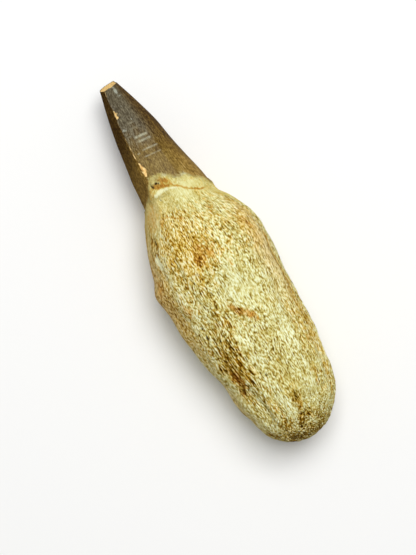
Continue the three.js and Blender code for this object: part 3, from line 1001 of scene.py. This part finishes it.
# A painted grey sheen on the crown's front face, strongest towards the tip: its colours by brightness, what
# spreads it, and how far it covers.
SHEEN_GREY = ((46, 37, 20), (176, 170, 144), 0.05, 0.75)
SHEEN_GREYING = {"scuffs": 0.35, "clouds": 0.15, "towards_tip": 1.2}
SHEEN_GREY_FULL, SHEEN_GREY_COVER = 1.1, 0.85
CHESTNUT = ((46, 24, 0), (188, 148, 72), 0.1, 0.7)
CHESTNUT_COVER = 0.5
SPECK_COLOUR, SCRATCH_COLOUR = (168, 172, 156), (190, 190, 162)
SPECK_COVER, SCRATCH_COVER = 0.7, 0.75
SPECK_FROM, SPECK_FULL, SPECK_RAGGEDNESS = 0.25, 0.8, 0.3


def enamel_amounts(s, grain, past_collar):
    """Everything that the enamel's colour is worked out from, by name."""
    clouds = s.noise(grain, *ENAMEL_CLOUDS)
    shifted = past_collar + clouds * CLOUD_SHIFT
    return {
        "clouds": clouds,
        "streaks": s.noise(grain, *STREAKS),
        "fine_lines": s.noise(grain, *FINE_LINES),
        "scuffs": s.noise(grain, *SCUFFS),
        "towards_tip": s.ramp(shifted, *TOWARDS_TIP),
        "low": s.ramp(shifted, *LOW_CROWN),
        "at_collar": s.ramp(past_collar, *AT_COLLAR),
        "back_face": s.attribute("back_face"),
        "dark_face": s.attribute("dark_face"),
        "scratches": scratch_marks(s),
    }


def enamel_colour(s, amounts):
    """Brown enamel, olive at the collar and greyer towards the tip by a painted sheen, chestnut on its sides,
    partly painted shade on the dark face, with scratches.
    """
    back, dark, scuffs = amounts["back_face"], amounts["dark_face"], amounts["scuffs"]
    level = ENAMEL_BRIGHTNESS + weighed(amounts, ENAMEL_LIGHTENING)
    level = level + back * weighed(amounts, BACK_FACE_LIGHTENING)
    # Painted sheen: grey over the front face towards the tip, not on the back or dark faces.
    painted_sheen = s.ramp(weighed(amounts, SHEEN_GREYING), 0.0, SHEEN_GREY_FULL) * (1 - amounts["low"]) * SHEEN_GREY_COVER
    painted_sheen = painted_sheen * (1 - back) * (1 - dark)
    colour = s.blend(s.colour_by(level, ENAMEL_STOPS), s.tint_by(level, *SHEEN_GREY), painted_sheen)
    # Chestnut over the back and dark faces; on the dark face its darkness is partly painted shade.
    colour = s.blend(colour, s.tint_by(level, *CHESTNUT), (back + dark) * CHESTNUT_COVER)
    specked = s.ramp(s.attribute("nicked") + scuffs * SPECK_RAGGEDNESS, SPECK_FROM, SPECK_FULL)
    colour = s.blend(colour, paint(*SPECK_COLOUR), specked * SPECK_COVER)
    return s.blend(colour, paint(*SCRATCH_COLOUR), amounts["scratches"] * SCRATCH_COVER)


# The bone's grain is fainter by the collar, over this stretch from it and by this much, and on smooth bone.
CALM_STRETCH, CALMING = (-13.0, -3.0), 0.72
SMOOTH_BONE_CALMING = 0.1

# The boundary of bone and enamel: the noise that breaks it up, in millimetres, and the ramp across it.
BOUNDARY_NOISE = (0.9, 0.9, 3.0, 0.7)
BOUNDARY = {"noise": 0.6, "flecks": 0.15, "crusted": -1.6}
BOUNDARY_BLEND = (-0.1, 0.9)
# Grime along the bone's side of it.
GRIME_COLOUR, GRIME_STRETCH, GRIME_RAGGEDNESS, GRIME_COVER = (140, 126, 80), (-1.5, 0.3), 0.6, 0.5

# Bare dentine, by noise instead of by brightness, and the chips where it shows.
DENTINE = ((202, 148, 74), (250, 224, 158), -0.8, 0.8)
DENTINE_FLECKS = 0.4
CHIP_RAGGEDNESS, CHIP_BLEND = 0.2, (0.42, 0.62)
# Painted shade: black in holes and cracks.
HOLE_SHADE_COLOUR, HOLE_SHADE_RAGGEDNESS, HOLE_SHADE_BLEND = (48, 32, 14), 0.15, (0.28, 0.7)

# Roughness of bone and dentine, and how much less it is on enamel, less so along its fine lines.
ROUGHNESS, POLISH, POLISH_LOST_IN_LINES = 0.88, 0.40, 0.05
GLOSS, GLOSS_LOST_ON_DARK_FACE, GLOSS_ROUGHNESS = 0.12, 0.8, 0.3

# Bump, in millimetres.
BONE_BUMP = {"long_fibres": 0.05, "dashes": 0.05, "flecks": 0.03, "pits": -0.1}
ENAMEL_BUMP = {"fine_lines": 0.005, "streaks": 0.010, "scratches": -0.02}
DENTINE_BUMP = 0.05


def tooth_material():
    """Bone, enamel and broken dentine, each where the tooth's attributes and some noise say."""
    s = Shader("fossil_tooth")
    grain = s.attribute("grain", "Vector")
    past_collar = s.attribute("past_collar")
    texture = bone_texture(s, grain)
    flecks = texture["flecks"]
    calm = 1 - s.ramp(past_collar, *CALM_STRETCH) * CALMING
    quiet = calm * (1 - s.attribute("side_band") * SMOOTH_BONE_CALMING)
    bone = bone_colour(s, grain, {name: amount * quiet for name, amount in texture.items()})
    on_crown = enamel_amounts(s, grain, past_collar)
    enamel = enamel_colour(s, on_crown)

    near = s.noise(grain, *BOUNDARY_NOISE)
    across_edge = {"noise": near, "flecks": flecks, "crusted": s.attribute("crusted")}
    edge = past_collar + weighed(across_edge, BOUNDARY)
    on_enamel = s.ramp(edge, *BOUNDARY_BLEND)
    grimy = s.ramp(edge + near * GRIME_RAGGEDNESS, *GRIME_STRETCH) * GRIME_COVER
    bone = s.blend(bone, paint(*GRIME_COLOUR), grimy)
    dentine = s.tint_by(near + flecks * DENTINE_FLECKS, *DENTINE)
    on_dentine = s.ramp(s.attribute("chipped") + near * CHIP_RAGGEDNESS, *CHIP_BLEND)
    colour = s.blend(s.blend(bone, enamel, on_enamel), dentine, on_dentine)
    painted_hole_shade = s.ramp(s.attribute("black") + flecks * HOLE_SHADE_RAGGEDNESS, *HOLE_SHADE_BLEND)
    colour = s.blend(colour, paint(*HOLE_SHADE_COLOUR), painted_hole_shade)

    polished = on_enamel * (1 - on_dentine)
    roughness = ROUGHNESS - polished * (POLISH - on_crown["fine_lines"] * POLISH_LOST_IN_LINES)
    gloss = polished * GLOSS * (1 - on_crown["dark_face"] * GLOSS_LOST_ON_DARK_FACE)
    height = weighed(texture, BONE_BUMP) * quiet * (1 - on_enamel) + weighed(on_crown, ENAMEL_BUMP) * polished
    normal = s.node("Bump", "Normal", Height=height + near * on_dentine * DENTINE_BUMP, Distance=METRES)
    surface = s.node("BsdfPrincipled", "BSDF", Base_Color=colour, Roughness=roughness, Normal=normal,
                     Specular_IOR_Level=0.0, Coat_Weight=gloss, Coat_Roughness=GLOSS_ROUGHNESS)
    s.node("OutputMaterial", "", Surface=surface)
    return s.material


def plain_material(name, colour, roughness):
    """One colour, in linear light, all over."""
    s = Shader(name)
    surface = s.node("BsdfPrincipled", "BSDF", Base_Color=colour, Roughness=roughness)
    s.node("OutputMaterial", "", Surface=surface)
    return s.material


# ---- The scene ----
def add_tooth():
    low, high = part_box("mosasaur_tooth")
    mesh = tooth_mesh((low + high) / 2)
    mesh.materials.append(tooth_material())
    tooth = bpy.data.objects.new("tooth", mesh)
    bpy.context.scene.collection.objects.link(tooth)
    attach(tooth, "root")
    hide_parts("mosasaur_tooth")


FLOOR_SIZE = 6.0  # metres
FLOOR_COLOUR, FLOOR_ROUGHNESS = (0.86, 0.86, 0.85, 1), 0.9


def add_floor():
    """A flat square at height 0."""
    half = FLOOR_SIZE / 2
    corners = [(-half, -half, 0), (half, -half, 0), (half, half, 0), (-half, half, 0)]
    mesh = bpy.data.meshes.new("floor")
    mesh.from_pydata(corners, [], [(0, 1, 2, 3)])
    mesh.materials.append(plain_material("pale_floor", FLOOR_COLOUR, FLOOR_ROUGHNESS))
    floor = bpy.data.objects.new("floor", mesh)
    bpy.context.scene.collection.objects.link(floor)


# The camera looks straight down. These are the directions on the floor of its view's right and top.
VIEW_TURN = math.radians(30.1)  # of the tooth's axis from the view's upright
VIEW_RIGHT = Vector((-math.sin(VIEW_TURN), -math.cos(VIEW_TURN), 0))
VIEW_UP = Vector((math.cos(VIEW_TURN), -math.sin(VIEW_TURN), 0))
OVERHEAD = Vector((0, 0, 1))
# In metres:
VIEW_CENTRE = Vector((-0.0042, 0.0026, 0.01375))
VIEW_HEIGHT = 0.1520  # of the view, at the tooth's widest outline
CAMERA_DISTANCE = 0.45
CLIP_START, CLIP_END = 0.01, 20
SENSOR = 36.0  # in millimetres, as is the lens


def add_camera():
    camera = bpy.data.cameras.new("camera")
    camera.sensor_width = SENSOR
    camera.lens = SENSOR * CAMERA_DISTANCE / VIEW_HEIGHT
    camera.clip_start, camera.clip_end = CLIP_START, CLIP_END
    holder = bpy.data.objects.new("camera", camera)
    bpy.context.scene.collection.objects.link(holder)
    turn = Matrix((VIEW_RIGHT, VIEW_UP, OVERHEAD)).transposed().to_4x4()
    holder.matrix_world = Matrix.Translation(VIEW_CENTRE + OVERHEAD * CAMERA_DISTANCE) @ turn
    bpy.context.scene.camera = holder


KEY_DIRECTION = VIEW_RIGHT * 0.12 + VIEW_UP * 0.50 + OVERHEAD * 1.5
KEY_DISTANCE, KEY_SIZE, KEY_POWER = 0.9, 0.55, 8  # metres and watts
WORLD_COLOUR, WORLD_STRENGTH = (1, 1, 1, 1), 0.32


def add_lights():
    """A square soft key light that faces the tooth from a direction, and an even light from all round."""
    light = bpy.data.lights.new("key", "AREA")
    light.size = KEY_SIZE
    light.energy = KEY_POWER
    holder = bpy.data.objects.new("key", light)
    bpy.context.scene.collection.objects.link(holder)
    towards = KEY_DIRECTION.normalized()
    turn = towards.to_track_quat("Z", "Y").to_matrix().to_4x4()
    holder.matrix_world = Matrix.Translation(towards * KEY_DISTANCE) @ turn

    world = bpy.data.worlds.new("studio")
    world.use_nodes = True
    background = world.node_tree.nodes["Background"]
    background.inputs["Color"].default_value = WORLD_COLOUR
    background.inputs["Strength"].default_value = WORLD_STRENGTH
    bpy.context.scene.world = world
    bpy.context.scene.view_settings.view_transform = "Standard"


add_camera()
add_tooth()
add_floor()
add_lights()
